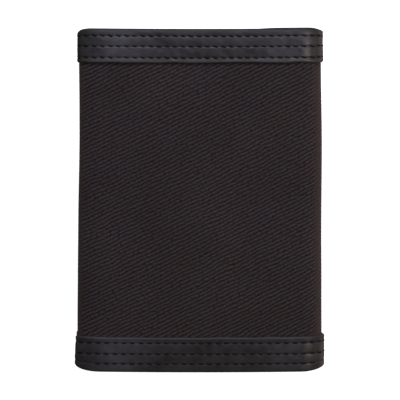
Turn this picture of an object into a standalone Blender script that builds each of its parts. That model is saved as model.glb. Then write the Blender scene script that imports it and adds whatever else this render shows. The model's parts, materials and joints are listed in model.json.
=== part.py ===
"""Tall bifold wallet, lying closed on its back cover.

Two stiffened canvas covers and a narrow canvas spine carry leather bands along
their head and foot edges. Inside each cover lie a lining, a banknote divider, an
inner wall and card pockets; the front cover also holds a clear identity window.

Axes: +X points to the spine, +Y to the open head of the banknote compartment and
+Z from the back cover to the front cover. The origin is the centre of the
footprint, on the surface that the wallet lies on. All lengths are in metres.
"""

import math

import bmesh
import bpy

# Overall size, closed.
WIDTH = 0.094
HEIGHT = 0.130
THICKNESS = 0.016

# The two fold lines run along Y, this far inside the outer faces that meet there.
FOLD_INSET = 0.0037
# Half of the slit left between a cover's layers and the spine's at a fold line.
FOLD_CLEARANCE = 0.00015

# Leather bands.
BAND_THICKNESS = 0.0008
HEAD_BAND_HEIGHT = 0.0128
FOOT_BAND_HEIGHT = 0.0136
HEAD_BAND_SETBACK = 0.0007
HEAD_CORNER_RADIUS = 0.0020
FOOT_CORNER_RADIUS = 0.0035

# How deep each layer starts below the outer face, and how thick it is.
CANVAS_DEPTH, CANVAS_THICKNESS = 0.0011, 0.0008
LINING_DEPTH, LINING_THICKNESS = 0.0022, 0.0004
DIVIDER_DEPTH, DIVIDER_THICKNESS = 0.0030, 0.0003
INNER_WALL_DEPTH, INNER_WALL_THICKNESS = 0.0037, 0.0005
POCKET_DEPTH, POCKET_THICKNESS = 0.0045, 0.0004
POCKET_STEP = 0.0007
WINDOW_FILM_DEPTH, WINDOW_FILM_THICKNESS = 0.0059, 0.0002
WINDOW_FRAME_DEPTH, WINDOW_FRAME_THICKNESS = 0.0064, 0.0006

# How far each layer stops short of the wallet's free edge, head and foot.
CANVAS_SETBACK = 0.0013
CANVAS_END_SETBACK = 0.0010
LINING_SETBACK = 0.0020
LINING_END_SETBACK = 0.0014
DIVIDER_SETBACK = 0.0016
DIVIDER_HEAD_SETBACK = 0.0050
INNER_SETBACK = 0.0009
INNER_FOOT_SETBACK = 0.0015
INNER_HEAD_SETBACK = 0.0080
LAYER_CORNER_RADIUS = 0.0015

# The inner wall and the pockets stop here, so that the spine's inner wall passes them.
INNER_FOLD_SETBACK = 0.0008
# The spine's own inner wall stops this far past each fold line.
SPINE_WALL_SETBACK = 0.0008

# Card pockets: a 54 mm tall card stands in each, and the mouths rise in equal steps.
FIRST_MOUTH_HEIGHT = 0.046
MOUTH_STEP = 0.013
POCKET_BODY_HEIGHT = 0.056
BACK_POCKET_COUNT = 4
FRONT_SLIP_MOUTH_HEIGHT = 0.096
FRONT_CARD_MOUTH_HEIGHT = 0.080

# Identity window, for an 85.6 x 54 mm card lying lengthwise.
WINDOW_FRAME_HEIGHT = 0.062
WINDOW_SIDE_MARGIN = 0.0065
WINDOW_END_MARGIN = 0.0085
WINDOW_CORNER_RADIUS = 0.0030
WINDOW_FILM_LAP = 0.0030

# Edge rounding, as a share of each layer's thickness, and its facets.
EDGE_ROUNDING = 0.35
EDGE_SEGMENTS = 2
CORNER_SEGMENTS = 5
CURVED_EDGE_ANGLE = math.radians(50)
WELD_DISTANCE = 0.00001

# Planes that the layers are measured from.
SPINE_FACE_X = WIDTH / 2
FREE_EDGE_X = -WIDTH / 2
HEAD_Y = HEIGHT / 2
FOOT_Y = -HEIGHT / 2
FOLD_X = SPINE_FACE_X - FOLD_INSET
BACK_FOLD_Z = FOLD_INSET
FRONT_FOLD_Z = THICKNESS - FOLD_INSET
SPINE_HALF_WIDTH = THICKNESS / 2 - FOLD_INSET
INNER_FOOT_Y = FOOT_Y + INNER_FOOT_SETBACK
INNER_HEAD_Y = HEAD_Y - INNER_HEAD_SETBACK


def clear_scene():
    """Remove every object that the open file holds."""
    for obj in list(bpy.data.objects):
        bpy.data.objects.remove(obj, do_unlink=True)


def make_collection(name):
    """Add a collection to the scene."""
    collection = bpy.data.collections.new(name)
    bpy.context.scene.collection.children.link(collection)
    return collection


def make_material(name, colour, roughness, metallic=0.0, transmission=0.0):
    """Return a Principled BSDF material with the given finish."""
    material = bpy.data.materials.new(name)
    material.use_nodes = True
    shader = material.node_tree.nodes["Principled BSDF"]
    shader.inputs["Base Color"].default_value = (*colour, 1.0)
    shader.inputs["Roughness"].default_value = roughness
    shader.inputs["Metallic"].default_value = metallic
    shader.inputs["Transmission Weight"].default_value = transmission
    material.diffuse_color = (*colour, 1.0)
    return material


def rounded_outline(low_x, high_x, low_y, high_y, radii):
    """Return a rectangle's outline with round corners, counter-clockwise.

    The radii are those of the foot-free, foot-spine, head-spine and head-free
    corners. A radius of zero leaves a square corner.
    """
    corners = (
        (low_x, low_y, 1, 1, 180),
        (high_x, low_y, -1, 1, 270),
        (high_x, high_y, -1, -1, 0),
        (low_x, high_y, 1, -1, 90),
    )
    points = []
    for (x, y, inward_x, inward_y, start_angle), radius in zip(corners, radii):
        if radius == 0:
            points.append((x, y))
            continue
        centre_x = x + inward_x * radius
        centre_y = y + inward_y * radius
        for step in range(CORNER_SEGMENTS + 1):
            angle = math.radians(start_angle + 90 * step / CORNER_SEGMENTS)
            points.append((centre_x + radius * math.cos(angle), centre_y + radius * math.sin(angle)))
    return points


def extruded_mesh(name, outlines, thickness):
    """Extrude flat outlines into a closed mesh, centred on its own thickness."""
    curve = bpy.data.curves.new(name, "CURVE")
    curve.dimensions = "2D"
    curve.fill_mode = "BOTH"
    curve.extrude = thickness / 2
    for outline in outlines:
        spline = curve.splines.new("POLY")
        spline.points.add(len(outline) - 1)
        for point, (x, y) in zip(spline.points, outline):
            point.co = (x, y, 0.0, 1.0)
        spline.use_cyclic_u = True
    guide = bpy.data.objects.new(name + "_guide", curve)
    bpy.context.scene.collection.objects.link(guide)
    evaluated = guide.evaluated_get(bpy.context.evaluated_depsgraph_get())
    mesh = bpy.data.meshes.new_from_object(evaluated)
    bpy.data.objects.remove(guide, do_unlink=True)
    bpy.data.curves.remove(curve)
    welded = bmesh.new()
    welded.from_mesh(mesh)
    bmesh.ops.remove_doubles(welded, verts=welded.verts, dist=WELD_DISTANCE)
    bmesh.ops.recalc_face_normals(welded, faces=welded.faces)
    welded.to_mesh(mesh)
    welded.free()
    mesh.name = name
    return mesh


def sheet(name, outlines, thickness, material):
    """Cut one sheet of leather, cloth or film and round its edges."""
    mesh = extruded_mesh(name, outlines, thickness)
    mesh.materials.append(material)
    mesh.shade_smooth()
    mesh.set_sharp_from_angle(angle=CURVED_EDGE_ANGLE)
    obj = bpy.data.objects.new(name, mesh)
    wallet.objects.link(obj)
    rounding = obj.modifiers.new("edge_rounding", "BEVEL")
    rounding.width = thickness * EDGE_ROUNDING
    rounding.segments = EDGE_SEGMENTS
    rounding.limit_method = "ANGLE"
    rounding.angle_limit = CURVED_EDGE_ANGLE
    return obj


def body_empty(name, location, parent=None):
    """Add the empty that a group of pieces turns with, on its fold line."""
    empty = bpy.data.objects.new(name, None)
    empty.empty_display_size = FOLD_INSET
    wallet.objects.link(empty)
    empty.parent = parent
    origin = body_origins[parent.name] if parent else (0.0, 0.0, 0.0)
    empty.location = [place - start for place, start in zip(location, origin)]
    body_origins[name] = location
    return empty


def attach(obj, body, location, turn=0.0):
    """Place a piece in the wallet and hang it from its body's empty."""
    obj.parent = body
    obj.location = [place - start for place, start in zip(location, body_origins[body.name])]
    obj.rotation_euler = (0.0, turn, 0.0)


def add_back(name, outlines, depth, thickness, material):
    """Lay a sheet in the back cover, its outer face the given depth above the table."""
    obj = sheet("back_" + name, outlines, thickness, material)
    attach(obj, back_cover, (0.0, 0.0, depth + thickness / 2))


def add_front(name, outlines, depth, thickness, material):
    """Lay a sheet in the front cover, its outer face the given depth below the top."""
    obj = sheet("front_" + name, outlines, thickness, material)
    attach(obj, front_cover, (0.0, 0.0, THICKNESS - depth - thickness / 2))


def add_spine(name, low_y, high_y, half_width, depth, thickness, material):
    """Stand a sheet in the spine, its outer face the given depth inside the fold side."""
    outline = rounded_outline(-half_width, half_width, low_y, high_y, (0, 0, 0, 0))
    obj = sheet("spine_" + name, [outline], thickness, material)
    location = (SPINE_FACE_X - depth - thickness / 2, 0.0, THICKNESS / 2)
    attach(obj, spine, location, turn=math.radians(-90))


def cover_outline(setback, low_y, high_y, foot_radius, head_radius):
    """Return a shell layer's outline, square where it meets the fold line."""
    radii = (foot_radius, 0, 0, head_radius)
    return rounded_outline(FREE_EDGE_X + setback, FOLD_X - FOLD_CLEARANCE, low_y, high_y, radii)


def inner_outline(low_y, high_y):
    """Return the outline of an inner wall or a pocket."""
    radii = (LAYER_CORNER_RADIUS,) * 4
    return rounded_outline(FREE_EDGE_X + INNER_SETBACK, FOLD_X - INNER_FOLD_SETBACK, low_y, high_y, radii)


def build_cover(add):
    """Make the layers that both covers share, from the outside in."""
    foot_band = cover_outline(0.0, FOOT_Y, FOOT_Y + FOOT_BAND_HEIGHT, FOOT_CORNER_RADIUS, 0)
    add("foot_band", [foot_band], 0.0, BAND_THICKNESS, leather)
    head_band = cover_outline(
        HEAD_BAND_SETBACK, HEAD_Y - HEAD_BAND_HEIGHT, HEAD_Y, 0, HEAD_CORNER_RADIUS
    )
    add("head_band", [head_band], 0.0, BAND_THICKNESS, leather)
    panel = cover_outline(
        CANVAS_SETBACK,
        FOOT_Y + CANVAS_END_SETBACK,
        HEAD_Y - CANVAS_END_SETBACK,
        FOOT_CORNER_RADIUS,
        HEAD_CORNER_RADIUS,
    )
    add("canvas_panel", [panel], CANVAS_DEPTH, CANVAS_THICKNESS, canvas)
    lining = cover_outline(
        LINING_SETBACK,
        FOOT_Y + LINING_END_SETBACK,
        HEAD_Y - LINING_END_SETBACK,
        FOOT_CORNER_RADIUS,
        HEAD_CORNER_RADIUS,
    )
    add("lining", [lining], LINING_DEPTH, LINING_THICKNESS, lining_cloth)
    divider = cover_outline(
        DIVIDER_SETBACK,
        INNER_FOOT_Y,
        HEAD_Y - DIVIDER_HEAD_SETBACK,
        LAYER_CORNER_RADIUS,
        LAYER_CORNER_RADIUS,
    )
    add("note_divider", [divider], DIVIDER_DEPTH, DIVIDER_THICKNESS, lining_cloth)
    inner_wall = inner_outline(INNER_FOOT_Y, INNER_HEAD_Y)
    add("inner_wall", [inner_wall], INNER_WALL_DEPTH, INNER_WALL_THICKNESS, canvas)


def build_back_pockets():
    """Stack the back cover's card pockets, the highest mouth deepest."""
    for layer in range(BACK_POCKET_COUNT):
        number = BACK_POCKET_COUNT - layer
        mouth = INNER_FOOT_Y + FIRST_MOUTH_HEIGHT + MOUTH_STEP * (number - 1)
        foot = max(INNER_FOOT_Y, mouth - POCKET_BODY_HEIGHT)
        outline = inner_outline(foot, mouth)
        depth = POCKET_DEPTH + POCKET_STEP * layer
        add_back(f"card_pocket_{number}", [outline], depth, POCKET_THICKNESS, leather)


def build_front_pockets():
    """Make the front cover's slip pocket, card pocket and identity window."""
    slip = inner_outline(INNER_FOOT_Y, INNER_FOOT_Y + FRONT_SLIP_MOUTH_HEIGHT)
    add_front("slip_pocket", [slip], POCKET_DEPTH, POCKET_THICKNESS, leather)
    card = inner_outline(INNER_FOOT_Y, INNER_FOOT_Y + FRONT_CARD_MOUTH_HEIGHT)
    add_front("card_pocket", [card], POCKET_DEPTH + POCKET_STEP, POCKET_THICKNESS, leather)
    frame_head_y = INNER_FOOT_Y + WINDOW_FRAME_HEIGHT
    film_margin_x = WINDOW_SIDE_MARGIN - WINDOW_FILM_LAP
    film_margin_y = WINDOW_END_MARGIN - WINDOW_FILM_LAP
    film = rounded_outline(
        FREE_EDGE_X + INNER_SETBACK + film_margin_x,
        FOLD_X - INNER_FOLD_SETBACK - film_margin_x,
        INNER_FOOT_Y + film_margin_y,
        frame_head_y - film_margin_y,
        (WINDOW_CORNER_RADIUS,) * 4,
    )
    add_front("window_film", [film], WINDOW_FILM_DEPTH, WINDOW_FILM_THICKNESS, clear_film)
    frame = inner_outline(INNER_FOOT_Y, frame_head_y)
    opening = rounded_outline(
        FREE_EDGE_X + INNER_SETBACK + WINDOW_SIDE_MARGIN,
        FOLD_X - INNER_FOLD_SETBACK - WINDOW_SIDE_MARGIN,
        INNER_FOOT_Y + WINDOW_END_MARGIN,
        frame_head_y - WINDOW_END_MARGIN,
        (WINDOW_CORNER_RADIUS,) * 4,
    )
    add_front("window_frame", [frame, opening], WINDOW_FRAME_DEPTH, WINDOW_FRAME_THICKNESS, leather)


def build_spine():
    """Make the spine's layers, from the outside in."""
    shell_half_width = SPINE_HALF_WIDTH - FOLD_CLEARANCE
    wall_half_width = SPINE_HALF_WIDTH - SPINE_WALL_SETBACK
    add_spine(
        "foot_band", FOOT_Y, FOOT_Y + FOOT_BAND_HEIGHT, shell_half_width, 0.0, BAND_THICKNESS, leather
    )
    add_spine(
        "head_band", HEAD_Y - HEAD_BAND_HEIGHT, HEAD_Y, shell_half_width, 0.0, BAND_THICKNESS, leather
    )
    add_spine(
        "canvas_panel",
        FOOT_Y + CANVAS_END_SETBACK,
        HEAD_Y - CANVAS_END_SETBACK,
        shell_half_width,
        CANVAS_DEPTH,
        CANVAS_THICKNESS,
        canvas,
    )
    add_spine(
        "lining",
        FOOT_Y + LINING_END_SETBACK,
        HEAD_Y - LINING_END_SETBACK,
        shell_half_width,
        LINING_DEPTH,
        LINING_THICKNESS,
        lining_cloth,
    )
    add_spine(
        "note_divider",
        INNER_FOOT_Y,
        HEAD_Y - DIVIDER_HEAD_SETBACK,
        shell_half_width,
        DIVIDER_DEPTH,
        DIVIDER_THICKNESS,
        lining_cloth,
    )
    add_spine(
        "inner_wall",
        INNER_FOOT_Y,
        INNER_HEAD_Y,
        wall_half_width,
        INNER_WALL_DEPTH,
        INNER_WALL_THICKNESS,
        canvas,
    )


clear_scene()
wallet = make_collection("bifold_wallet")
canvas = make_material("waxed_canvas", (0.024, 0.019, 0.021), roughness=0.85)
leather = make_material("black_leather", (0.034, 0.032, 0.038), roughness=0.5)
lining_cloth = make_material("lining_cloth", (0.018, 0.016, 0.017), roughness=0.7)
clear_film = make_material("clear_film", (0.85, 0.88, 0.88), roughness=0.1, transmission=0.9)

body_origins = {}
back_cover = body_empty("back_cover_base", (0.0, 0.0, 0.0))
spine = body_empty("back_fold_axis", (FOLD_X, 0.0, BACK_FOLD_Z))
front_cover = body_empty("front_fold_axis", (FOLD_X, 0.0, FRONT_FOLD_Z), parent=spine)

build_cover(add_back)
build_back_pockets()
build_spine()
build_cover(add_front)
build_front_pockets()
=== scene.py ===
"""Looks of the tall bifold wallet: twill canvas, leather bands, stitches, linings and pockets.

Every length is in metres. A cover's skin is laid out on its flat cut: s runs from the middle of
the spine over the fold to the free edge, y from foot to head, and h is the height above the
canvas. cover_section() bends that cut round the fold and the free edge. Everything is shaped as
the front cover, and finish_place() turns the back cover's pieces over.
"""

import json
import math

import bpy
import numpy as np
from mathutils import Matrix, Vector


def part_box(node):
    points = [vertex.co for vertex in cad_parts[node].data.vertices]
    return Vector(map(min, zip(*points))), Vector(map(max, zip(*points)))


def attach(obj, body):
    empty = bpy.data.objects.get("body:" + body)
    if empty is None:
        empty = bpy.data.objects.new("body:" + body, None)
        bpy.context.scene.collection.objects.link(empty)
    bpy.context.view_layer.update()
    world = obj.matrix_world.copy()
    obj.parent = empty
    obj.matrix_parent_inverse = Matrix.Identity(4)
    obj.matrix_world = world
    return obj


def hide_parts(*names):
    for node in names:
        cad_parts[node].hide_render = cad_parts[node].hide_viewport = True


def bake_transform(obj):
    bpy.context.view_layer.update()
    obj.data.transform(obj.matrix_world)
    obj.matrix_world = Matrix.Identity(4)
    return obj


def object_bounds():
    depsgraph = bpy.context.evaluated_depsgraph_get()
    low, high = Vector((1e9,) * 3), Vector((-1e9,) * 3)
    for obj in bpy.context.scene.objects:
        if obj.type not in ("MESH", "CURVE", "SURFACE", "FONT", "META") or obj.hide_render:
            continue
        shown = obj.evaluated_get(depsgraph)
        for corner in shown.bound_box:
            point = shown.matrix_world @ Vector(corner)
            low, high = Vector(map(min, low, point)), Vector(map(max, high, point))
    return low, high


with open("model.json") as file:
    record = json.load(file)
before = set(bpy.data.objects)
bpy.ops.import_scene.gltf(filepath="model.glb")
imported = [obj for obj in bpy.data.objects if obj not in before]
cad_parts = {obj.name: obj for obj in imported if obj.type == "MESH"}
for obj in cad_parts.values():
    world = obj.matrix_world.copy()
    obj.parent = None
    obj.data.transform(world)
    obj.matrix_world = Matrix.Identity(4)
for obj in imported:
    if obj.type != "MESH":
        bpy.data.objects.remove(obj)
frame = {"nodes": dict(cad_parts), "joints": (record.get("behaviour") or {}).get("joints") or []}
cad_low, cad_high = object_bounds()

MM = 0.001
SIDES = ("back", "front")
MIRROR = {"back": -1, "front": 1}

# Sizes that follow from the frame.
THICKNESS = cad_high.z
HEAD_Y = cad_high.y
FOOT_Y = cad_low.y
SPINE_X = cad_high.x
FREE_X = cad_low.x
FRONT_FOLD = next(joint for joint in frame["joints"] if joint["name"] == "front_fold")
FOLD_X = FRONT_FOLD["pos_m"][0]

# Outer skin: its section across the wallet.
BAND_RISE = 0.9 * MM
CANVAS_THICKNESS = 0.6 * MM
CANVAS_FREE_INSET = 1.0 * MM
CORNER_RUN = 8.0 * MM
CORNER_DROP = 6.8 * MM
DROOP_START_X = FREE_X + 9.5 * MM
DROOP_SHARE = 0.9
FRONT_DROOP = 4.2 * MM
BACK_DROOP = 1.4 * MM
HEM_RADIUS = 0.7 * MM
HEM_LENGTH = 6.0 * MM
SECTION_STEP = 0.05 * MM

# Plan shape: the covers flare towards the foot, most of all at the free edge beside the foot band,
# sway a little, and their edges sag in the middle.
FLARE = 0.0130
SWAY = 0.45 * MM
SWAY_Y = 23.0 * MM
SWAY_REACH = 24.0 * MM
FOOT_SPREAD = 0.36 * MM
FOOT_SPREAD_Y = (-51.0 * MM, -59.0 * MM)
HEAD_SAG = 0.30 * MM
FOOT_SAG = 0.35 * MM
CROWN = 0.55 * MM
CROWN_FALL = 0.7
END_DIP = 1.0 * MM
END_DIP_REACH = 15.0 * MM
FOLD_CORNER_SHIFT = 0.5 * MM

# Each rounded corner: which end, how far along the end it runs, and how far it pulls the end in.
CORNERS = ((HEAD_Y, 4.0 * MM, 1.4 * MM), (FOOT_Y, 9.0 * MM, 2.3 * MM))

# Leather bands: rows of stitches measured from the outer edge, and relief.
BAND_WIDTH = {"head": 12.9 * MM, "foot": 13.8 * MM}
BAND_ROWS = {"head": (2.6 * MM, 6.5 * MM, 10.7 * MM), "foot": (3.4 * MM, 7.2 * MM, 11.4 * MM)}
STITCH_PITCH = {"head": 3.05 * MM, "foot": 3.2 * MM}
STITCH_SLANT = {"head": math.radians(-13), "foot": math.radians(-5)}
STITCH_LENGTH = 2.5 * MM
THREAD_RADIUS = 0.30 * MM
GROOVE_DEPTH = 0.14 * MM
GROOVE_WIDTH = 0.36 * MM
PUFF = 0.05 * MM
LIP_RADIUS = 0.75 * MM
LIP_RISE = 0.10 * MM
# How strong the painted warm shade is on a band's side edges and outer rim.
EDGE_SHADE = {"head": 0.9, "foot": 0.5}
# How strong the wear and painted highlight are on a band's rolled lip.
LIP_WEAR_AND_HIGHLIGHT = {"head": 0.95, "foot": 0.3}

# Paler, bluish patches of the bands: place across the wallet, reach and strength.
PALE_PATCHES = ((-30.0 * MM, 9.0 * MM, 1.0), (33.0 * MM, 6.0 * MM, 0.6))
TURNED_LENGTH = 9.0 * MM
SHELL_THICKNESS = 1.8 * MM
BACK_PEEK = 0.30 * MM

# Twill: wales per metre along s and y, and their relief.
WALE_S = 322.0
WALE_Y = 662.0
WALE_RELIEF = 0.085 * MM
CANVAS_STEP_S = 0.6 * MM
CANVAS_STEP_Y = 0.28 * MM
BAND_STEP_S = 0.42 * MM

# Inner layers: depth below a cover's outer face.
LINING_H = (-0.85 * MM, -1.15 * MM)
DIVIDER_DEPTH, DIVIDER_THICKNESS = 3.0 * MM, 0.3 * MM
WALL_DEPTH, WALL_THICKNESS = 3.7 * MM, 0.5 * MM
DIVIDER_CORNER, WALL_CORNER = 3.4 * MM, 1.6 * MM
POCKET_THICKNESS = 0.4 * MM
POCKET_SEAM = 3.4 * MM
FRAME_SEAM = 1.9 * MM
INNER_STITCH_PITCH = 2.8 * MM
INNER_DEPTH = 7.0 * MM
INNER_INSET = 0.9 * MM
EDGE_SINK_INNER = 0.6 * MM
EDGE_SINK_WALL = 1.4 * MM

# Camera.
CAMERA_DISTANCE = 0.800
CAMERA_LEAN = math.radians(5)
CAMERA_TARGET = (0.1 * MM, 0.55 * MM, THICKNESS)
FRAMED_WIDTH = 0.1506


# ---------------------------------------------------------------- noise and curves


def soft_noise(u, v, size, seed):
    """Smooth random values from -1 to 1 over the plane, with features of the given size."""
    lattice = np.random.default_rng(seed).uniform(-1, 1, (64, 64))
    u, v = np.broadcast_arrays(np.asarray(u, float) / size, np.asarray(v, float) / size)
    cell_u, cell_v = np.floor(u).astype(int), np.floor(v).astype(int)
    part_u, part_v = u - cell_u, v - cell_v
    part_u = part_u * part_u * (3 - 2 * part_u)
    part_v = part_v * part_v * (3 - 2 * part_v)

    def corner(i, j):
        return lattice[(cell_u + i) % 64, (cell_v + j) % 64]

    low = corner(0, 0) * (1 - part_u) + corner(1, 0) * part_u
    high = corner(0, 1) * (1 - part_u) + corner(1, 1) * part_u
    return low * (1 - part_v) + high * part_v


def smooth_step(value, low, high):
    """0 below low, 1 above high, and a smooth rise between them."""
    share = np.clip((value - low) / (high - low), 0, 1)
    return share * share * (3 - 2 * share)


def arc(centre, run, rise, start, end, count=40):
    """Points on an ellipse between two angles in degrees."""
    angles = np.radians(np.linspace(start, end, count))
    return np.stack([centre[0] + run * np.cos(angles), centre[1] + rise * np.sin(angles)], 1)


def spaced(low, high, step):
    """Values from low to high, both included, about a step apart."""
    return np.linspace(low, high, max(2, int(round((high - low) / step)) + 1))


def corner_cut(distance, radius):
    """How far a rounded corner pulls an edge in, at a distance along it from the corner."""
    near = np.clip(radius - distance, 0, radius)
    return radius - np.sqrt(radius**2 - near**2)


class Section:
    """The curve that a layer follows across a cover, in x and z."""

    def __init__(self, stretches):
        rough = np.concatenate(stretches)
        steps = np.linalg.norm(np.diff(rough, axis=0), axis=1)
        rough = rough[np.concatenate([[True], steps > 1e-9])]
        along = np.concatenate([[0], np.cumsum(np.linalg.norm(np.diff(rough, axis=0), axis=1))])
        self.length = along[-1]
        self.s = spaced(0, self.length, SECTION_STEP)
        self.x = np.interp(self.s, along, rough[:, 0])
        self.z = np.interp(self.s, along, rough[:, 1])
        slope_x, slope_z = np.gradient(self.x), np.gradient(self.z)
        size = np.hypot(slope_x, slope_z)
        self.normal_x, self.normal_z = slope_z / size, -slope_x / size
        self.edge_s = float(self.s[np.argmin(self.x)])

    def at(self, s):
        """Position and outward normal at distances s."""
        return [np.interp(s, self.s, values) for values in (self.x, self.z, self.normal_x, self.normal_z)]

    def s_at_x(self, x):
        """Distance at which the upper side of the cover reaches x."""
        widest = int(np.argmin(self.x))
        return float(np.interp(-x, -self.x[:widest], self.s[:widest]))


def cover_section(droop):
    """The canvas from the spine's middle over the cover and round its free edge into the hem."""
    outer_x, top_z = SPINE_X - BAND_RISE, THICKNESS - BAND_RISE
    corner_z = top_z - CORNER_DROP
    stretches = [
        np.array([(outer_x, THICKNESS / 2), (outer_x, corner_z)]),
        arc((outer_x - CORNER_RUN, corner_z), CORNER_RUN, CORNER_DROP, 0, 90),
    ]
    edge_x = FREE_X + CANVAS_FREE_INSET + 0.3 * HEM_RADIUS
    run = (DROOP_START_X - edge_x) / DROOP_SHARE
    share = np.linspace(0, DROOP_SHARE, 60)
    fall_x = DROOP_START_X - run * share
    fall_z = top_z - droop * (1 - np.sqrt(1 - share**2))
    slope = math.atan(droop / run * DROOP_SHARE / math.sqrt(1 - DROOP_SHARE**2))
    stretches.append(np.stack([fall_x, fall_z], 1))
    normal = np.array([-math.sin(slope), math.cos(slope)])
    outward = np.array([-math.cos(slope), -math.sin(slope)])
    centre = np.array([fall_x[-1], fall_z[-1]]) - normal * HEM_RADIUS
    turn = np.radians(np.linspace(0, 180, 30))[:, None]
    stretches.append(centre + HEM_RADIUS * (np.cos(turn) * normal + np.sin(turn) * outward))
    slopes = droop / run * share / np.sqrt(1 - share**2)
    size = np.hypot(1, slopes)
    under = np.stack([fall_x + 2 * HEM_RADIUS * slopes / size, fall_z - 2 * HEM_RADIUS / size], 1)[::-1]
    stretches.append(under[under[:, 0] < edge_x + HEM_LENGTH])
    return Section(stretches)


def inner_section(depth, radius, end_x):
    """An inner layer from the spine's middle to end_x, with a tight corner at the fold."""
    side_x, top_z = SPINE_X - depth, THICKNESS - depth
    spine = np.array([(side_x, THICKNESS / 2), (side_x, top_z - radius)])
    corner = arc((side_x - radius, top_z - radius), radius, radius, 0, 90)
    return Section([spine, corner, np.array([(end_x, top_z)])])


SKIN = {"front": cover_section(FRONT_DROOP), "back": cover_section(BACK_DROOP)}


def corner_pull(guide_x, y):
    """How far along y the rounded corners pull a point in from the nearer end."""
    from_free_edge = guide_x - FREE_X - CANVAS_FREE_INSET
    from_fold = SPINE_X - BAND_RISE + FOLD_CORNER_SHIFT - guide_x
    reach = np.minimum(from_free_edge, from_fold)
    pull = 0.0
    for end_y, run, rise in CORNERS:
        near = np.clip(1 - reach / run, 0, 1)
        share = np.clip(1 - np.abs(end_y - y) / (3 * rise), 0, 1)
        pull = pull - math.copysign(rise, end_y) * (1 - np.sqrt(1 - near**2)) * share
    return pull


def finish_place(side, x, y, z, guide_x):
    """Crown, plan shape and turning over for the back cover; guide_x is x on the canvas."""
    across = np.clip(1 - (x / SPINE_X) ** 2, 0, 1)
    along = 1 - CROWN_FALL * (y / HEAD_Y) ** 2
    if side == "front":
        outwards = np.clip((z - THICKNESS + INNER_DEPTH) / INNER_DEPTH, 0, 1)
        dip = END_DIP * np.clip((np.abs(y) - HEAD_Y + END_DIP_REACH) / END_DIP_REACH, 0, 1) ** 2
        z = z + (CROWN * across * along - dip) * outwards
    else:
        z = THICKNESS - z
    sag = np.interp(y, (FOOT_Y, HEAD_Y), (FOOT_SAG, HEAD_SAG))
    placed_y = y - sag * across + corner_pull(guide_x, y)
    placed_x = x * (1 - FLARE * y / HEAD_Y) + SWAY * np.exp(-(((y - SWAY_Y) / SWAY_REACH) ** 2))
    spread = smooth_step(y, *FOOT_SPREAD_Y) * np.clip(-x / SPINE_X, 0, 1)
    placed_x = placed_x - FOOT_SPREAD * spread
    return np.stack([placed_x, placed_y, z], -1)


def lay(side, s, y, h):
    """Bend flat-cut coordinates of a cover's skin into place."""
    x, z, normal_x, normal_z = SKIN[side].at(s)
    return finish_place(side, x + normal_x * h, y, z + normal_z * h, x)


def sink_edge(side, x, z):
    """Press the front cover's inner layers together under its drooping free edge."""
    if side == "back":
        return z
    share = np.clip((DROOP_START_X - x) / (DROOP_START_X - FREE_X), 0, 0.95)
    fall = (1 - np.sqrt(1 - share**2)) / (1 - math.sqrt(1 - 0.95**2))
    level = np.clip((z - THICKNESS + INNER_DEPTH) / (INNER_DEPTH - WALL_DEPTH), 0, 1.3)
    return z - fall * (EDGE_SINK_INNER + (EDGE_SINK_WALL - EDGE_SINK_INNER) * level)


def lay_inside(side, x, y, depth):
    """Place a point of a flat inner layer, at a depth below the cover's outer face."""
    return finish_place(side, x, y, sink_edge(side, x, THICKNESS - depth), x)


# ---------------------------------------------------------------- meshes


def grid_faces(rows, columns, wrap_columns=False, wrap_rows=False):
    """Quads of a grid of points stored row by row; wrap joins the last ones to the first."""
    r = np.arange(rows if wrap_rows else rows - 1)[:, None]
    c = np.arange(columns if wrap_columns else columns - 1)[None, :]
    next_r, next_c = (r + 1) % rows, (c + 1) % columns
    corners = (r * columns + c, r * columns + next_c, next_r * columns + next_c, next_r * columns + c)
    return np.stack([np.broadcast_to(k, (r.shape[0], c.shape[1])) for k in corners], -1).reshape(-1, 4)


def signed_volume(points, faces):
    """Volume inside faces given as lists of point indices; negative where they face inwards."""
    total = 0.0
    for face in faces:
        first = points[face[0]]
        for second, third in zip(face[1:-1], face[2:]):
            total += float(np.dot(first, np.cross(points[second], points[third])))
    return total / 6


def make_mesh(name, points, faces, caps, material, attributes):
    """A closed mesh, smooth apart from its caps, with float or vector point attributes."""
    points = points.reshape(-1, 3)
    quads = np.asarray(faces)
    a, b, c, d = (points[quads[:, k]] for k in range(4))
    volume = float((a * np.cross(b, c)).sum() + (a * np.cross(c, d)).sum()) / 6
    volume += signed_volume(points, caps)
    polygons = quads.tolist() + [list(cap) for cap in caps]
    if volume < 0:
        polygons = [polygon[::-1] for polygon in polygons]
    mesh = bpy.data.meshes.new(name)
    mesh.from_pydata(points.tolist(), [], polygons)
    smooth = np.ones(len(polygons), bool)
    smooth[len(quads):] = False
    mesh.polygons.foreach_set("use_smooth", smooth)
    for key, values in attributes.items():
        if values.shape[-1] == 3 and values.ndim > 1:
            layer = mesh.attributes.new(key, "FLOAT_VECTOR", "POINT")
            layer.data.foreach_set("vector", values.astype(np.float32).ravel())
        else:
            layer = mesh.attributes.new(key, "FLOAT", "POINT")
            layer.data.foreach_set("value", values.astype(np.float32).ravel())
    mesh.materials.append(material)
    obj = bpy.data.objects.new(name, mesh)
    bpy.context.scene.collection.objects.link(obj)
    return obj


def sweep(name, along, outline, place, material, details=None, mirror=1):
    """Sweep a closed outline of (a, h) points along a row of values, with capped ends.

    place(along, a, h) returns the points; details(along, a, h) returns extra attributes.
    A mirror of -1 turns the pattern of the back cover's cloth so that it runs on past the spine.
    """
    first, index = np.meshgrid(along, np.arange(len(outline)), indexing="ij")
    a, h = outline[index, 0], outline[index, 1]
    points = place(first, a, h)
    attributes = {"rest": np.stack([mirror * first, a, h], -1).reshape(-1, 3)}
    if details is not None:
        attributes.update({key: values.ravel() for key, values in details(first, a, h).items()})
    rows, columns = first.shape
    last = (rows - 1) * columns
    caps = [range(columns)[::-1], range(last, last + columns)]
    return make_mesh(name, points, grid_faces(rows, columns, wrap_columns=True), caps, material, attributes)


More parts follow.
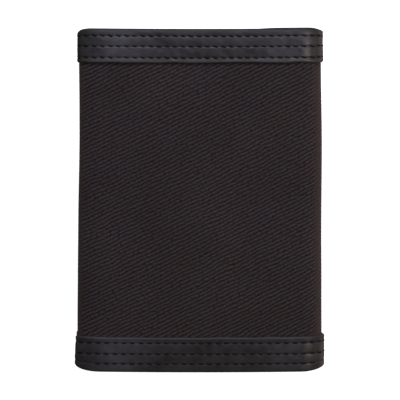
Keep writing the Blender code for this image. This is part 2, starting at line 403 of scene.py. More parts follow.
def slab(low, high, inner_h, outer_h, step, end_radius=None, coarse=6 * MM):
    """Closed outline of a sheet from low to high: a fine face at outer_h and a coarse back."""
    middle, half = (inner_h + outer_h) / 2, abs(outer_h - inner_h) / 2
    up = 1 if outer_h > inner_h else -1
    run = half if end_radius is None else end_radius
    face = spaced(high - run, low + run, -step)
    back = spaced(low + run, high - run, coarse)
    return np.concatenate([
        np.stack([face, np.full_like(face, outer_h)], 1),
        arc((low + run, middle), run, up * half, 90, 270, 7)[1:-1],
        np.stack([back, np.full_like(back, inner_h)], 1),
        arc((high - run, middle), run, up * half, -90, 90, 7)[1:-1],
    ])


# ---------------------------------------------------------------- stitches


def stitch(centre, angle, length, radius, rise):
    """One stitch in (a, b, h): a run of thread that dives into the leather at both ends."""
    along = np.linspace(-1, 1, 9)
    swell = np.sqrt(np.maximum(1 - along**6, 0.02))
    around = np.linspace(0, 2 * math.pi, 8, endpoint=False)
    path_a = centre[0] + along * length / 2 * math.cos(angle)
    path_b = centre[1] + along * length / 2 * math.sin(angle)
    path_h = rise + radius * (0.45 - 1.9 * np.abs(along) ** 3)
    across = np.outer(swell, np.cos(around)) * radius
    upward = np.outer(swell, np.sin(around)) * radius
    rings_a = path_a[:, None] - across * math.sin(angle)
    rings_b = path_b[:, None] + across * math.cos(angle)
    return np.stack([rings_a, rings_b, path_h[:, None] + upward], -1)


def sew(name, marks, length, radius, place, material):
    """A piece made of the stitches at marks of (a, b, angle, rise)."""
    stitches = np.stack([stitch((a, b), angle, length, radius, rise) for a, b, angle, rise in marks])
    count, rings, sides, _ = stitches.shape
    faces, caps = [], []
    ring_faces = grid_faces(rings, sides, wrap_columns=True)
    for first in range(0, count * rings * sides, rings * sides):
        faces.append(ring_faces + first)
        caps.append(range(first, first + sides)[::-1])
        caps.append(range(first + (rings - 1) * sides, first + rings * sides))
    points = place(stitches[..., 0], stitches[..., 1], stitches[..., 2])
    return make_mesh(
        name, points, np.concatenate(faces), caps, material, {"rest": stitches.reshape(-1, 3)}
    )


# ---------------------------------------------------------------- materials


class Nodes:
    """Short ways to add and join shader nodes."""

    def __init__(self, name):
        self.material = bpy.data.materials.new(name)
        self.material.use_nodes = True
        self.tree = self.material.node_tree
        self.shader = self.tree.nodes["Principled BSDF"]

    def add(self, kind, **settings):
        """Add a node; settings name its properties or its inputs."""
        node = self.tree.nodes.new(kind)
        for key, value in settings.items():
            if hasattr(node, key):
                setattr(node, key, value)
            else:
                node.inputs[key.replace("_", " ").title()].default_value = value
        return node

    def join(self, output, socket):
        self.tree.links.new(output, socket)

    def put(self, socket, value):
        """Join a socket, or set a number or colour, on an input."""
        if isinstance(value, bpy.types.NodeSocket):
            self.join(value, socket)
        elif isinstance(value, (int, float)):
            socket.default_value = value
        else:
            socket.default_value = (*value, 1.0)

    def attribute(self, name):
        return self.add("ShaderNodeAttribute", attribute_name=name)

    def maths(self, operation, first, second=0.0, third=0.0):
        """A Math node over sockets or numbers."""
        node = self.add("ShaderNodeMath", operation=operation)
        for socket, value in zip(node.inputs, (first, second, third)):
            self.put(socket, value)
        return node.outputs[0]

    def noise(self, place, scale, detail=3.0, roughness=0.55):
        node = self.add("ShaderNodeTexNoise", scale=scale, detail=detail, roughness=roughness)
        self.join(place, node.inputs["Vector"])
        return node.outputs["Fac"]

    def stretched(self, place, angle, scale):
        """Coordinates turned by an angle in the sheet's plane and then scaled."""
        turn = self.add("ShaderNodeVectorRotate", rotation_type="Z_AXIS", angle=angle)
        self.join(place, turn.inputs["Vector"])
        node = self.add("ShaderNodeVectorMath", operation="MULTIPLY")
        self.join(turn.outputs[0], node.inputs[0])
        node.inputs[1].default_value = scale
        return node.outputs[0]

    def ramp(self, factor, stops):
        """A colour ramp through (position, colour) stops; a colour may be one grey number."""
        node = self.add("ShaderNodeValToRGB")
        elements = node.color_ramp.elements
        while len(elements) < len(stops):
            elements.new(0.5)
        for element, (position, colour) in zip(elements, stops):
            element.position = position
            element.color = (*colour, 1.0) if hasattr(colour, "__len__") else (colour,) * 3 + (1.0,)
        self.join(factor, node.inputs["Fac"])
        return node.outputs["Color"]

    def mix(self, factor, first, second, blend="MIX"):
        """A colour mix of sockets or colours."""
        node = self.add("ShaderNodeMix", data_type="RGBA", blend_type=blend)
        for socket, value in ((node.inputs[0], factor), (node.inputs[6], first), (node.inputs[7], second)):
            self.put(socket, value)
        return node.outputs[2]

    def bump(self, height, distance, strength=1.0, normal=None):
        node = self.add("ShaderNodeBump", strength=strength, distance=distance)
        self.join(height, node.inputs["Height"])
        if normal is not None:
            self.join(normal, node.inputs["Normal"])
        return node.outputs["Normal"]


def leather_material(name):
    """Soft black leather: fine pebbled grain, mottled tone, paler bluish patches, painted shade in the seams,
    paler worn edges with a painted highlight on the band lips, painted warm shade on the side edges and a
    painted reflection on the rim at the fold.
    """
    n = Nodes(name)
    place = n.attribute("rest").outputs["Vector"]
    seam = n.attribute("seam").outputs["Fac"]
    wear = n.attribute("wear").outputs["Fac"]
    edge = n.attribute("edge").outputs["Fac"]
    polish = n.attribute("polish").outputs["Fac"]
    rub = n.attribute("rub").outputs["Fac"]
    mottle = n.noise(place, 150.0, detail=4.0)
    base = n.ramp(mottle, [(0.3, (0.0125, 0.0113, 0.0118)), (0.7, (0.0305, 0.0278, 0.0292))])
    # Paler, bluish patches.
    pale_tone = n.mix(n.maths("MULTIPLY", polish, mottle), base, (0.066, 0.061, 0.074))
    # Paler worn edges, with a painted highlight on the band lips.
    worn_and_lit = n.mix(n.maths("MULTIPLY", wear, 0.7), pale_tone, (0.066, 0.063, 0.058))
    # Painted warm shade on the edges that turn away.
    edge_shaded = n.mix(edge, worn_and_lit, (0.0125, 0.0110, 0.0075))
    # Painted reflection on the rim beside the fold.
    rim_lit = n.mix(rub, edge_shaded, (0.075, 0.056, 0.052))
    # Painted shade in the sunk seams and stitch grooves.
    n.join(n.mix(seam, rim_lit, (0.003, 0.003, 0.0035)), n.shader.inputs["Base Color"])
    grain = n.add("ShaderNodeTexVoronoi", feature="SMOOTH_F1", scale=2300.0, smoothness=0.6)
    n.join(place, grain.inputs["Vector"])
    pebbles = n.bump(grain.outputs["Distance"], 0.05 * MM, strength=0.35)
    creases = n.bump(n.noise(place, 420.0, detail=5.0, roughness=0.6), 0.12 * MM, 0.75, pebbles)
    n.join(creases, n.shader.inputs["Normal"])
    gloss = n.maths("MULTIPLY_ADD", n.noise(place, 300.0), 0.22, 0.32)
    dulled = n.maths("MULTIPLY_ADD", edge, 0.25, gloss)
    n.join(n.maths("MULTIPLY_ADD", seam, 0.45, dulled), n.shader.inputs["Roughness"])
    n.shader.inputs["Specular IOR Level"].default_value = 0.5
    return n.material


def canvas_material(name):
    """Waxed twill: painted light on the wale crests and painted shade in the grooves, slubby yarns, and
    browner turned edges from painted warm light and wear.
    """
    n = Nodes(name)
    place = n.attribute("rest").outputs["Vector"]
    phase = n.attribute("wales").outputs["Fac"]
    wear = n.attribute("wear").outputs["Fac"]
    # Paler crests and darker grooves: painted light and painted shade on the twill's wales.
    crest = n.maths("MULTIPLY_ADD", n.maths("COSINE", n.maths("MULTIPLY", phase, 2 * math.pi)), 0.5, 0.5)
    floats = n.noise(n.stretched(place, math.radians(-26), (0.62, 1.0, 1.0)), 1700.0, detail=2.5)
    broken = n.maths("MULTIPLY", crest, n.maths("MULTIPLY_ADD", floats, 1.5, 0.25))
    wale = n.ramp(broken, [(0.05, (0.0160, 0.0114, 0.0113)), (0.9, (0.0450, 0.0358, 0.0368))])
    patches = n.ramp(n.noise(place, 110.0), [(0.35, (1.03, 0.95, 0.92)), (0.65, (0.98, 1.01, 1.05))])
    faded = n.ramp(n.noise(place, 34.0, detail=5.0), [(0.3, 0.86), (0.7, 1.12)])
    toned = n.mix(1.0, n.mix(1.0, wale, patches, blend="MULTIPLY"), faded, blend="MULTIPLY")
    knots = n.ramp(n.noise(place, 950.0, detail=1.0), [(0.28, 0.35), (0.42, 1.0), (0.70, 1.35)])
    specks = n.ramp(n.noise(place, 2300.0, detail=1.0), [(0.32, 0.72), (0.68, 1.30)])
    yarns = n.mix(1.0, n.mix(0.8, toned, knots, blend="MULTIPLY"), specks, blend="MULTIPLY")
    # Browner turned edges: painted warm light on the skin's rolled edges, and wear on the hems.
    n.join(n.mix(wear, yarns, (0.0400, 0.0245, 0.0200)), n.shader.inputs["Base Color"])
    threads = n.noise(n.stretched(place, math.radians(62), (1.0, 3.5, 1.0)), 1300.0)
    n.join(n.bump(threads, 0.10 * MM, strength=0.7), n.shader.inputs["Normal"])
    n.shader.inputs["Roughness"].default_value = 0.82
    n.shader.inputs["Specular IOR Level"].default_value = 0.12
    n.shader.inputs["Sheen Weight"].default_value = 0.05
    n.shader.inputs["Sheen Roughness"].default_value = 0.45
    return n.material


def lining_material(name):
    """Plain-woven nylon: a fine checked weave with a faint slub and a soft satin shine."""
    n = Nodes(name)
    place = n.attribute("rest").outputs["Vector"]
    weave = n.add("ShaderNodeTexChecker", scale=2400.0)
    n.join(place, weave.inputs["Vector"])
    slub = n.noise(n.stretched(place, 0.0, (0.15, 1.0, 1.0)), 900.0)
    base = n.ramp(slub, [(0.3, (0.0125, 0.0110, 0.0120)), (0.7, (0.0240, 0.0215, 0.0230))])
    n.join(n.mix(0.35, base, weave.outputs["Color"], blend="MULTIPLY"), n.shader.inputs["Base Color"])
    crossing = n.bump(weave.outputs["Fac"], 0.04 * MM, strength=0.6)
    n.join(n.bump(slub, 0.05 * MM, strength=0.5, normal=crossing), n.shader.inputs["Normal"])
    n.join(n.maths("MULTIPLY_ADD", slub, 0.25, 0.50), n.shader.inputs["Roughness"])
    n.shader.inputs["Sheen Weight"].default_value = 0.08
    return n.material


def thread_material(name):
    """Black waxed thread with a fine twist."""
    n = Nodes(name)
    place = n.attribute("rest").outputs["Vector"]
    tone = n.noise(place, 3000.0)
    n.join(n.ramp(tone, [(0.3, 0.0025), (0.7, 0.007)]), n.shader.inputs["Base Color"])
    twist = n.noise(n.stretched(place, math.radians(35), (1.0, 4.0, 1.0)), 2500.0)
    n.join(n.bump(twist, 0.05 * MM), n.shader.inputs["Normal"])
    n.shader.inputs["Roughness"].default_value = 0.75
    n.shader.inputs["Specular IOR Level"].default_value = 0.2
    return n.material


def film_material(name):
    """Clear flexible film with faint scuffs."""
    n = Nodes(name)
    place = n.attribute("rest").outputs["Vector"]
    scuffs = n.noise(n.stretched(place, math.radians(20), (1.0, 6.0, 1.0)), 400.0, detail=6.0)
    tint = n.ramp(scuffs, [(0.3, (0.93, 0.95, 0.95)), (0.7, (0.99, 1.0, 1.0))])
    n.join(tint, n.shader.inputs["Base Color"])
    n.join(n.maths("MULTIPLY_ADD", scuffs, 0.10, 0.02), n.shader.inputs["Roughness"])
    n.join(n.bump(scuffs, 0.02 * MM, strength=0.3), n.shader.inputs["Normal"])
    n.shader.inputs["Transmission Weight"].default_value = 1.0
    n.shader.inputs["IOR"].default_value = 1.45
    return n.material


leather = leather_material("black_leather")
canvas = canvas_material("waxed_canvas")
lining_cloth = lining_material("lining_cloth")
thread = thread_material("black_thread")
clear_film = film_material("clear_film")


# ---------------------------------------------------------------- baked placements


def fold_blend(piece, side):
    """Bake a piece's placement into its mesh; either side is treated the same."""
    if side == "front":
        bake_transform(piece)
    else:
        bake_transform(piece)


# ---------------------------------------------------------------- outer skin


def twill(s, y, seed=3):
    """Wale phase in cycles: straight diagonal wales that wander a little."""
    drift = 0.20 * soft_noise(s, y, 7 * MM, seed) + 0.13 * soft_noise(s, y, 2.4 * MM, seed + 1)
    return -WALE_S * s - WALE_Y * y + drift + 0.06 * soft_noise(s, y, 1.1 * MM, seed + 2)


def skin_wear_and_light(side, s):
    """Wear and painted warm light on the canvas: 0.75 on the rolled fold corner, 1 on the free edge, 0 on the
    flat.
    """
    section = SKIN[side]
    fold_side = 1 - smooth_step(s, section.s_at_x(SPINE_X - 2.9 * MM), section.s_at_x(SPINE_X - 4.6 * MM))
    free_side = smooth_step(s, section.edge_s - 3.4 * MM, section.edge_s - 0.8 * MM)
    return np.maximum(0.75 * fold_side, free_side)


def build_canvas(side):
    """The twill skin between the bands, from the spine's middle round to the hem."""
    mirror = MIRROR[side]
    low = FOOT_Y + BAND_WIDTH["foot"] - 2.4 * MM
    high = HEAD_Y - BAND_WIDTH["head"] + 2.4 * MM

    def place(s, y, h):
        on_face = h > -0.1 * MM
        wale = 0.5 + 0.5 * np.cos(2 * math.pi * twill(mirror * s, y))
        ripple = 0.08 * MM * soft_noise(s, y, 14 * MM, 6)
        relief = WALE_RELIEF * wale * (1 - 0.6 * skin_wear_and_light(side, s)) + ripple
        return lay(side, s, y, h + on_face * relief)

    def details(s, y, h):
        # Painted warm light, with wear, on the rolled edges.
        return {"wales": twill(mirror * s, y), "wear": 0.85 * skin_wear_and_light(side, s)}

    outline = slab(low, high, -CANVAS_THICKNESS, 0.0, CANVAS_STEP_Y)
    along = spaced(0, SKIN[side].length, CANVAS_STEP_S)
    piece = sweep(f"{side}_canvas_skin", along, outline, place, canvas, details, mirror)
    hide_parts(f"{side}_canvas_panel", "spine_canvas_panel")
    fold_blend(piece, side)


def band_outline(width):
    """Closed outline of a band in t, from the wallet's edge, and h: lip, face, turned edge, inside."""
    roll = SHELL_THICKNESS / 2
    top, under = BAND_RISE, BAND_RISE - SHELL_THICKNESS
    face_t = spaced(width - LIP_RADIUS, roll, -0.19 * MM)[1:-1]
    turned_t = spaced(roll, TURNED_LENGTH, 1.0 * MM)[1:]
    return np.concatenate([
        arc((width - LIP_RADIUS, -0.1 * MM), LIP_RADIUS, top + 0.1 * MM, 0, 90, 8),
        np.stack([face_t, np.full_like(face_t, top)], 1),
        arc((roll, top - roll), roll, roll, 90, 270, 16),
        np.stack([turned_t, np.full_like(turned_t, under)], 1),
        np.array([
            (TURNED_LENGTH, under + 0.35 * MM),
            (roll + 0.2 * MM, under + 0.35 * MM),
            (roll + 0.1 * MM, -0.1 * MM),
        ]),
    ])


def band_relief(end, s, t):
    """Height of the leather between its sunk rows of stitches, and the painted shade at each point."""
    width, rows, pitch = BAND_WIDTH[end], BAND_ROWS[end], STITCH_PITCH[end]
    height = LIP_RISE * np.exp(-(((t - width + 0.8 * MM) / (0.42 * MM)) ** 2))
    shade = np.zeros_like(t)
    edges = (0.0, *rows, width)
    for low, high in zip(edges[:-1], edges[1:]):
        share = np.clip((t - low) / (high - low), 0, 1)
        height += PUFF * np.sin(math.pi * share) ** 2
    for row in rows:
        gap = (t - row) / GROOVE_WIDTH
        pull = 0.55 + 0.45 * np.cos(2 * math.pi * (s / pitch - 0.5))
        height -= GROOVE_DEPTH * np.exp(-gap * gap) * (0.75 + 0.25 * pull)
        shade = np.maximum(shade, np.exp(-((1.2 * gap) ** 2)) * (0.62 + 0.18 * pull))
    return height, shade


def band_place(side, end):
    """A function that lays band coordinates s, t and h, with t measured inward from the edge."""
    section = SKIN[side]

    def place(s, t, h):
        x = section.at(s)[0]
        inward = t
        if end == "head" and side == "back":
            inward = inward - BACK_PEEK * smooth_step(x, 21 * MM, 30 * MM) * smooth_step(s, 1 * MM, 9 * MM)
        y = HEAD_Y - inward if end == "head" else FOOT_Y + inward
        pared = 1 - 0.55 * smooth_step(s, section.edge_s - 2.5 * MM, section.edge_s + 2.5 * MM)
        squeezed = 1 - 0.50 * smooth_step(s, section.edge_s - 5 * MM, section.edge_s - 1 * MM)
        return lay(side, s, y, np.where(h > 0, h * pared, h * squeezed))

    return place


def build_band(side, end):
    """A leather band with a turned edge, a rolled lip, sunk seams and its stitches."""
    width, section = BAND_WIDTH[end], SKIN[side]
    seed = {"head": 20, "foot": 30}[end] + 3 * SIDES.index(side)
    lay_band = band_place(side, end)

    def outer_share(t, h):
        return smooth_step(h, 0.25 * MM, BAND_RISE - 0.05 * MM)

    def place(s, t, h):
        height, _ = band_relief(end, s, t)
        broad = 0.10 * MM * soft_noise(s, t, 9 * MM, seed)
        creases = broad + 0.05 * MM * soft_noise(s, t * 1.6, 2.4 * MM, seed + 5)
        wave = 0.16 * MM * soft_noise(s, 0, 6 * MM, seed + 7) * smooth_step(t, width - 3 * MM, width)
        return lay_band(s, t + wave, h + outer_share(t, h) * (height + creases))

    def details(s, t, h):
        _, shade = band_relief(end, s, t)
        on_face = outer_share(t, h)
        lip = smooth_step(t, width - 1.6 * MM, width - 0.7 * MM)
        # Painted shade over the foot band's lip dulls its highlight.
        if end == "foot":
            shade = np.maximum(shade, 0.45 * lip)
        x = section.at(s)[0]
        # Painted warm shade towards the free edge, the fold and the outer rim.
        free_side = 1 - smooth_step(x, FREE_X, FREE_X + 7 * MM)
        spine_side = smooth_step(x, SPINE_X - 4.5 * MM, SPINE_X - 2 * MM)
        rim = 1 - smooth_step(t, 0.4 * MM, 1.8 * MM)
        # Paler, bluish patches along the band.
        pale_tone = sum(
            strength * np.exp(-(((x - centre) / reach) ** 2)) for centre, reach, strength in PALE_PATCHES
        )
        return {
            # painted shade in the sunk rows of stitches
            "seam": shade * on_face,
            # wear, with a painted highlight, on the lip
            "wear": LIP_WEAR_AND_HIGHLIGHT[end] * lip * on_face,
            # painted warm shade on the edges
            "edge": EDGE_SHADE[end] * np.maximum(np.maximum(free_side, spine_side), rim),
            # paler, bluish patches
            "polish": pale_tone * on_face,
            # painted reflection on the rim beside the fold
            "rub": 0.8 * smooth_step(x, SPINE_X - 3.4 * MM, SPINE_X - 1.6 * MM) * on_face,
        }

    along = spaced(0, section.length, BAND_STEP_S)
    piece = sweep(f"{side}_{end}_band_leather", along, band_outline(width), place, leather, details)
    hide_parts(f"{side}_{end}_band", f"spine_{end}_band")
    fold_blend(piece, side)
    build_band_stitches(side, end, seed, lay_band)


def build_band_stitches(side, end, seed, lay_band):
    """The rows of stitches that sew a band down; the outer foot row stops short of the corners."""
    rows, section = BAND_ROWS[end], SKIN[side]
    random = np.random.default_rng(seed + 50)
    pitch, slant = STITCH_PITCH[end], STITCH_SLANT[end]
    turned = 1 if end == "head" else -1
    marks = []
    for number, row in enumerate(rows):
        low_s, high_s = 0.0, section.edge_s + 1.0 * MM
        if end == "foot" and number == 0:
            low_s, high_s = section.s_at_x(SPINE_X - 5.6 * MM), section.s_at_x(FREE_X + 5.6 * MM)
        for k in range(int(low_s / pitch), int(high_s / pitch)):
            wander = random.uniform(-1, 1, 4)
            angle = turned * (slant + math.radians(5) * wander[0])
            rise = BAND_RISE - GROOVE_DEPTH * (1.1 + 0.4 * wander[1])
            centre_s = (k + 0.5) * pitch + 0.12 * MM * wander[2]
            marks.append((centre_s, row + 0.05 * MM * wander[3], angle, rise))
    sewn = sew(f"{side}_{end}_band_stitches", marks, STITCH_LENGTH, THREAD_RADIUS, lay_band, thread)
    fold_blend(sewn, side)


def build_lining(side):
    """The cloth that backs the shell, tucked into the hem."""
    section = SKIN[side]
    low, high = FOOT_Y + 1.6 * MM, HEAD_Y - 1.6 * MM
    end_s = section.s_at_x(FREE_X + 2.6 * MM)

    def place(s, y, h):
        return lay(side, s, y, h)

    outline = slab(low, high, LINING_H[0], LINING_H[1], 2 * MM)
    piece = sweep(f"{side}_lining_cloth", spaced(0, end_s, 0.8 * MM), outline, place, lining_cloth)
    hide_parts(f"{side}_lining", "spine_lining")
    fold_blend(piece, side)


# ---------------------------------------------------------------- inside

INNER_LOW_X = FREE_X + INNER_INSET + 0.8 * MM
INNER_HIGH_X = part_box("back_card_pocket_1")[1][0] - 0.6 * MM
INNER_FOOT_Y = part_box("back_inner_wall")[0][1]
WALL_HEAD_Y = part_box("back_inner_wall")[1][1]
DIVIDER_HEAD_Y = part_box("back_note_divider")[1][1]


def build_folded_layer(side, node, layer, head_y, end_x, material, relief, fine_from):
    """An inner sheet that runs from the cover round the fold to the spine's middle.

    layer is its depth, thickness and corner radius. Its visible face has fine rows and wales of
    the given relief above fine_from.
    """
    depth, thickness, radius = layer
    section = inner_section(depth, radius, end_x)
    mirror = MIRROR[side]

    def place(s, y, h):
        layer_x, z, normal_x, normal_z = section.at(s)
        wale = 0.5 + 0.5 * np.cos(2 * math.pi * twill(mirror * s, y, 13))
        visible = (h < -0.9 * thickness) * smooth_step(y, fine_from, fine_from + 3 * MM)
        raised = h - relief * wale * visible
        x, z = layer_x + normal_x * raised, z + normal_z * raised
        z = sink_edge(side, x, z) + 0.05 * MM * soft_noise(s, y, 11 * MM, 60) * (x < FOLD_X - 4 * MM)
        return finish_place(side, x, y, z, layer_x + depth - BAND_RISE)

    def details(s, y, h):
        hem = smooth_step(y, head_y - 1.2 * MM, head_y)
        return {"wales": twill(mirror * s, y, 13), "wear": 0.5 * hem}

    fine = slab(INNER_FOOT_Y, head_y, 0.0, -thickness, 0.3 * MM)
    keep = (fine[:, 0] > fine_from) | (fine[:, 1] > -0.99 * thickness)
    outline = fine[keep | (np.arange(len(fine)) % 6 == 0)]
    along = spaced(0, section.length, 0.6 * MM)
    piece = sweep(f"{side}_{node}_sheet", along, outline, place, material, details, mirror)
    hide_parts(f"{side}_{node}", f"spine_{node}")
    fold_blend(piece, side)


def build_pocket(side, node):
    """A leather pocket panel with a rounded, stitched mouth that gapes a little."""
    low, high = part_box(f"{side}_{node}")
    foot, mouth = low[1], high[1]
    depth = low[2] if side == "back" else THICKNESS - high[2]
    middle, half = (INNER_LOW_X + INNER_HIGH_X) / 2, (INNER_HIGH_X - INNER_LOW_X) / 2
    seed = 70 + int(1e5 * mouth) % 17

    def place(x, y, h):
        on_face = h > 0.5 * POCKET_THICKNESS
        from_mouth = mouth - y
        hem = 0.14 * MM * (1 - smooth_step(from_mouth, 4.6 * MM, 5.0 * MM))
        groove = 0.16 * MM * np.exp(-(((from_mouth - POCKET_SEAM) / (0.35 * MM)) ** 2))
        creases = 0.05 * MM * soft_noise(x, y, 8 * MM, seed)
        share = np.clip((x - middle) / half, -1, 1)
        gape = 0.30 * MM * (1 - share**4) * np.exp(-from_mouth / (7 * MM))
        cut = corner_cut(half - np.abs(x - middle), 1.5 * MM) * np.clip(1 - from_mouth / (4 * MM), 0, 1)
        dip = 0.5 * MM * (1 - share**2) * np.clip(1 - from_mouth / (9 * MM), 0, 1)
        return lay_inside(side, x, y - cut - dip, depth + h + gape + on_face * (hem - groove + creases))

    def details(x, y, h):
        from_mouth = mouth - y
        on_face = h > 0.5 * POCKET_THICKNESS
        # Painted shade in the stitch groove.
        seam = 0.7 * np.exp(-(((from_mouth - POCKET_SEAM) / (0.28 * MM)) ** 2)) * on_face
        return {"seam": seam, "wear": 0.45 * (1 - smooth_step(from_mouth, 0.1 * MM, 0.9 * MM))}

    fine = slab(foot, mouth, 0.0, POCKET_THICKNESS, 0.3 * MM)
    keep = (fine[:, 0] > mouth - 7 * MM) | (fine[:, 1] < 0.99 * POCKET_THICKNESS)
    outline = fine[keep | (np.arange(len(fine)) % 5 == 0)]
    along = spaced(INNER_LOW_X, INNER_HIGH_X, 0.8 * MM)
    piece = sweep(f"{side}_{node}_panel", along, outline, place, leather, details)
    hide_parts(f"{side}_{node}")
    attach(piece, f"{side}_cover")
    marks = [
        (x, mouth - POCKET_SEAM, math.radians(-6), POCKET_THICKNESS - 0.02 * MM)
        for x in np.arange(INNER_LOW_X + 2.4 * MM, INNER_HIGH_X - 1.2 * MM, INNER_STITCH_PITCH)
    ]
    sewn = sew(f"{side}_{node}_stitches", marks, 2.1 * MM, 0.2 * MM, place, thread)
    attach(sewn, f"{side}_cover")


def rounded_ring(low_x, high_x, low_y, high_y, radius, count):
    """Points evenly numbered round a rounded rectangle: the same index faces the same way."""
    points = []
    for centre_x, centre_y, start in (
        (high_x - radius, high_y - radius, 0),
        (low_x + radius, high_y - radius, 90),
        (low_x + radius, low_y + radius, 180),
        (high_x - radius, low_y + radius, 270),
    ):
        points.append(arc((centre_x, centre_y), radius, radius, start, start + 90, count))
    corners = np.concatenate(points)
    ring = []
    for first, second in zip(corners, np.roll(corners, -1, axis=0)):
        far = np.linalg.norm(second - first) > 4 * MM
        share = np.linspace(0, 1, 60 if far else 2)[:-1, None]
        ring.append(first + (second - first) * share)
    return np.concatenate(ring)


def build_window():
    """The identity window: a leather frame sewn round a clear film."""
    low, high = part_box("front_window_frame")
    film_low, film_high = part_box("front_window_film")
    depth = THICKNESS - high[2]
    thickness = high[2] - low[2]
    foot, head = low[1], high[1]
    side_margin, end_margin = 6.5 * MM, 8.5 * MM
    outer = rounded_ring(INNER_LOW_X, INNER_HIGH_X, foot, head, 1.5 * MM, 7)
    inner = rounded_ring(
        INNER_LOW_X + side_margin, INNER_HIGH_X - side_margin, foot + end_margin, head - end_margin, 3 * MM, 7
    )
    share = np.concatenate([
        np.linspace(0.0, 0.02, 2),
        np.linspace(0.05, 0.95, 26),
        np.linspace(0.98, 1.0, 2),
        np.linspace(0.98, 0.02, 5),
    ])
    top = np.concatenate([[0.35, 0.85], np.ones(26), [0.85, 0.35], np.zeros(5)])
    points = inner[:, None, :] + (outer - inner)[:, None, :] * share[None, :, None]
    width = np.linalg.norm(outer - inner, axis=1)[:, None]
    from_inner = share[None, :] * width
    groove = np.exp(-(((from_inner - FRAME_SEAM) / (0.35 * MM)) ** 2)) * (top > 0.9)
    x, y = points[..., 0], points[..., 1]
    h = thickness * top[None, :] - 0.18 * MM * groove + 0.04 * MM * soft_noise(x, y, 8 * MM, 91) * (top > 0.9)
    placed = lay_inside("front", x, y, depth + h)
    attributes = {
        "rest": np.stack([x, y, h], -1).reshape(-1, 3),
        # painted shade in the stitch groove
        "seam": (0.7 * groove).ravel(),
        "wear": np.broadcast_to(0.5 * ((top < 0.9) & (top > 0)), x.shape).ravel().astype(float),
    }
    faces = grid_faces(*x.shape, wrap_columns=True, wrap_rows=True)
    piece = make_mesh("front_window_frame_leather", placed, faces, [], leather, attributes)
    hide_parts("front_window_frame")
    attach(piece, "front_cover")

    row = inner + (outer - inner) * (FRAME_SEAM / width)
    along = np.concatenate([[0], np.cumsum(np.linalg.norm(np.diff(row, axis=0, append=row[:1]), axis=1))])
    looped = np.concatenate([row, row[:1]])
    marks = []
    for distance in np.arange(0, along[-1] - 1.5 * MM, INNER_STITCH_PITCH):
        here = [np.interp(distance, along, looped[:, k]) for k in (0, 1)]
        there = [np.interp(distance + 0.5 * MM, along, looped[:, k]) for k in (0, 1)]
        angle = math.atan2(there[1] - here[1], there[0] - here[0])
        marks.append((*here, angle, thickness - 0.12 * MM))

    def place(x, y, h):
        return lay_inside("front", x, y, depth + h)

    sewn = sew("front_window_frame_stitches", marks, 2.1 * MM, 0.2 * MM, place, thread)
    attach(sewn, "front_cover")

    film_depth = THICKNESS - film_high[2]
    film_thickness = film_high[2] - film_low[2]

    def place_film(x, y, h):
        ripple = 0.10 * MM * soft_noise(x, y, 16 * MM, 95)
        return lay_inside("front", x, y, film_depth + h + ripple)

    outline = slab(film_low[1], film_high[1], 0.0, film_thickness, 2 * MM)
    across = spaced(film_low[0], film_high[0], 2 * MM)
    film = sweep("front_window_film_sheet", across, outline, place_film, clear_film)
    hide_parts("front_window_film")
    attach(film, "front_cover")


def top_depth(side, y):
    """Depth of the innermost layer's visible face at a height y."""
    depth = WALL_DEPTH + WALL_THICKNESS
    for name in frame["nodes"]:
        if name.startswith(side) and ("pocket" in name or "frame" in name):
            low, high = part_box(name)
            if low[1] < y < high[1]:
                depth = max(depth, high[2] if side == "back" else THICKNESS - low[2])
    return depth


def build_seams(side):
    """The seam that holds the pockets and the inner wall along the free edge, foot and fold."""
    marks = []
    for x in (INNER_LOW_X + 1.6 * MM, INNER_HIGH_X - 1.6 * MM):
        for y in np.arange(INNER_FOOT_Y + 3 * MM, WALL_HEAD_Y - 2 * MM, 3.0 * MM):
            deepest = min(top_depth(side, y - 1.3 * MM), top_depth(side, y + 1.3 * MM))
            marks.append((x, y, math.radians(86), deepest))
    for x in np.arange(INNER_LOW_X + 3.4 * MM, INNER_HIGH_X - 2.4 * MM, 3.0 * MM):
        marks.append((x, INNER_FOOT_Y + 1.6 * MM, math.radians(4), top_depth(side, INNER_FOOT_Y + 1.6 * MM)))

    def place(x, y, h):
        return lay_inside(side, x, y, h)

    sewn = sew(f"{side}_inner_seam_stitches", marks, 2.2 * MM, 0.22 * MM, place, thread)
    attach(sewn, f"{side}_cover")


for side in SIDES:
    build_canvas(side)
    build_lining(side)
    for end in ("foot", "head"):
        build_band(side, end)
    build_folded_layer(
        side, "note_divider", (DIVIDER_DEPTH, DIVIDER_THICKNESS, DIVIDER_CORNER), DIVIDER_HEAD_Y,
        FREE_X + 4 * MM, lining_cloth, 0.0, DIVIDER_HEAD_Y - 6 * MM,
    )
    build_folded_layer(
        side, "inner_wall", (WALL_DEPTH, WALL_THICKNESS, WALL_CORNER), WALL_HEAD_Y,
        INNER_LOW_X, canvas, WALE_RELIEF, 15 * MM,
    )
    build_seams(side)
for number in (1, 2, 3, 4):
    build_pocket("back", f"card_pocket_{number}")
for node in ("slip_pocket", "card_pocket"):
    build_pocket("front", node)
build_window()


# ---------------------------------------------------------------- stage, lights and camera


def build_stage():
    """A plain pale floor, bright enough to stay white in the picture."""
    n = Nodes("pale_floor")
    mottle = n.noise(n.add("ShaderNodeTexCoord").outputs["Object"], 4.0)
    n.join(n.ramp(mottle, [(0.0, 0.92), (1.0, 0.94)]), n.shader.inputs["Base Color"])
    n.shader.inputs["Roughness"].default_value = 0.9
    n.shader.inputs["Emission Color"].default_value = (1, 1, 1, 1)
    n.shader.inputs["Emission Strength"].default_value = 0.9
    bpy.ops.mesh.primitive_plane_add(size=6.0, location=(0, 0, -0.2 * MM))
    floor = bpy.context.object
    floor.name = "floor"
    floor.data.materials.append(n.material)
    floor.visible_glossy = False


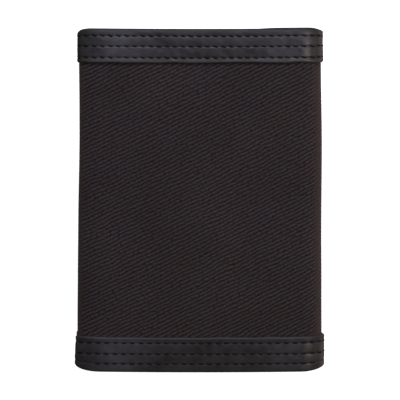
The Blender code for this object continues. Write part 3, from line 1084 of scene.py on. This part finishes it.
def area_light(name, location, target, size, power, colour=(1, 1, 1)):
    """A soft rectangular lamp aimed at a point."""
    data = bpy.data.lights.new(name, "AREA")
    data.shape = "RECTANGLE"
    data.size, data.size_y = size
    data.energy = power
    data.color = colour
    lamp = bpy.data.objects.new(name, data)
    bpy.context.scene.collection.objects.link(lamp)
    lamp.location = location
    lamp.rotation_mode = "QUATERNION"
    lamp.rotation_quaternion = (Vector(target) - Vector(location)).to_track_quat("-Z", "Y")


def build_camera():
    """Straight above the front cover, leaning a little towards its head."""
    data = bpy.data.cameras.new("camera")
    data.sensor_width = 36.0
    data.lens = data.sensor_width * CAMERA_DISTANCE / FRAMED_WIDTH
    camera = bpy.data.objects.new("camera", data)
    away = Vector((0.0, math.sin(CAMERA_LEAN), math.cos(CAMERA_LEAN)))
    camera.location = Vector(CAMERA_TARGET) + away * CAMERA_DISTANCE
    camera.rotation_euler = (-CAMERA_LEAN, 0.0, 0.0)
    bpy.context.scene.collection.objects.link(camera)
    bpy.context.scene.camera = camera


def build_world():
    """A dim, neutral surround."""
    world = bpy.data.worlds.new("studio")
    world.use_nodes = True
    world.node_tree.nodes["Background"].inputs["Color"].default_value = (1, 1, 1, 1)
    world.node_tree.nodes["Background"].inputs["Strength"].default_value = 0.03
    bpy.context.scene.world = world


build_stage()
build_world()
build_camera()

# The lamps' directions, strengths and colours started from a least-squares fit of trial lamps to
# the photo's tones. They were then rounded, and some were changed by hand against renders.
area_light("head_lamp", (0.0, 0.655, 0.459), (0, 0, 0), (0.22, 0.22), 3.8, (0.80, 0.83, 1.0))
area_light("fold_lamp", (0.445, 0.0, 0.665), (0, 0, 0), (0.30, 0.10), 1.7, (1.0, 0.90, 0.78))
area_light("corner_lamp", (0.348, 0.348, 0.630), (0, 0, 0), (0.22, 0.22), 0.9, (0.80, 0.75, 1.0))
area_light("low_right", (0.783, 0.0, 0.166), (0, 0, 0), (0.22, 0.22), 0.36, (1.0, 1.0, 0.8))
area_light("left_lamp", (-0.655, 0.0, 0.459), (0, 0, 0), (0.22, 0.22), 0.26)
area_light("foot_lamp", (0.0, -0.566, 0.566), (0, 0, 0), (0.22, 0.22), 0.16)
bpy.context.scene.view_settings.view_transform = "Standard"
